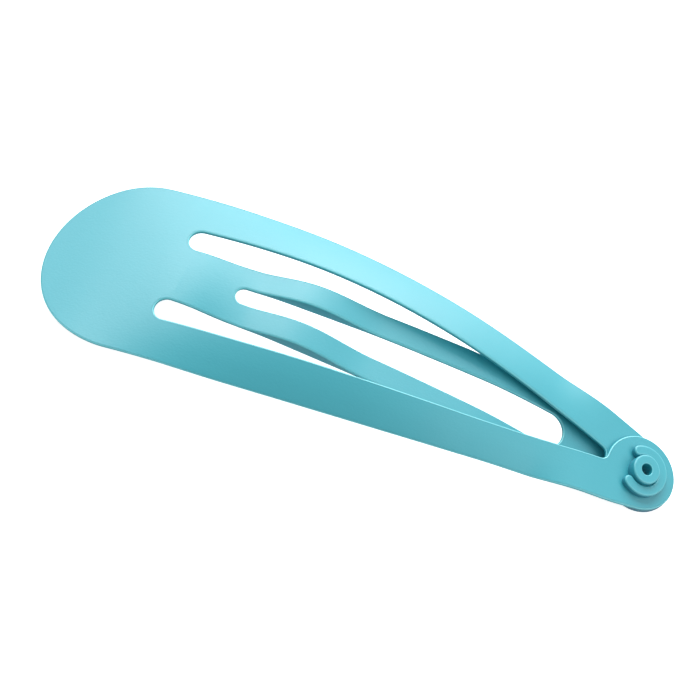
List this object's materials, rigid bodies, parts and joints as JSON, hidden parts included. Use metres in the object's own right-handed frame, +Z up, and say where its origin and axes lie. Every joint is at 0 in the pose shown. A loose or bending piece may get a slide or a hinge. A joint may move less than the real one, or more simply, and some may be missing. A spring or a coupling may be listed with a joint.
{
  "type": "snap hair clip",
  "caption": "Arched sheet-metal snap hair clip with a round head, two arms riveted at the tip and a slotted tongue that snaps shut beneath them.",
  "frame": {"origin": "centre of the box, at the level of the surface that the closed clip stands on", "axes": "+X from the round head to the riveted tip, +Y across the clip to the far arm, +Z up through the arch"},
  "size_m": [0.0502, 0.0144, 0.0065],
  "materials": {
    "coated_sheet": "matt soft-touch turquoise coat on spring steel",
    "coated_rivet": "matt soft-touch turquoise coat on the steel rivet"
  },
  "bodies": {
    "clip_frame": {"frame": "coated_sheet", "rivet": "coated_rivet"},
    "clip_tongue": {"tongue": "coated_sheet"}
  },
  "joints": [
    {"name": "tongue_open", "type": "hinge", "parent": "clip_frame", "child": "clip_tongue", "pos_m": [-0.01457, 0, 0.00447], "axis": [0, 1, 0], "range_deg": [0, 30]}
  ]
}
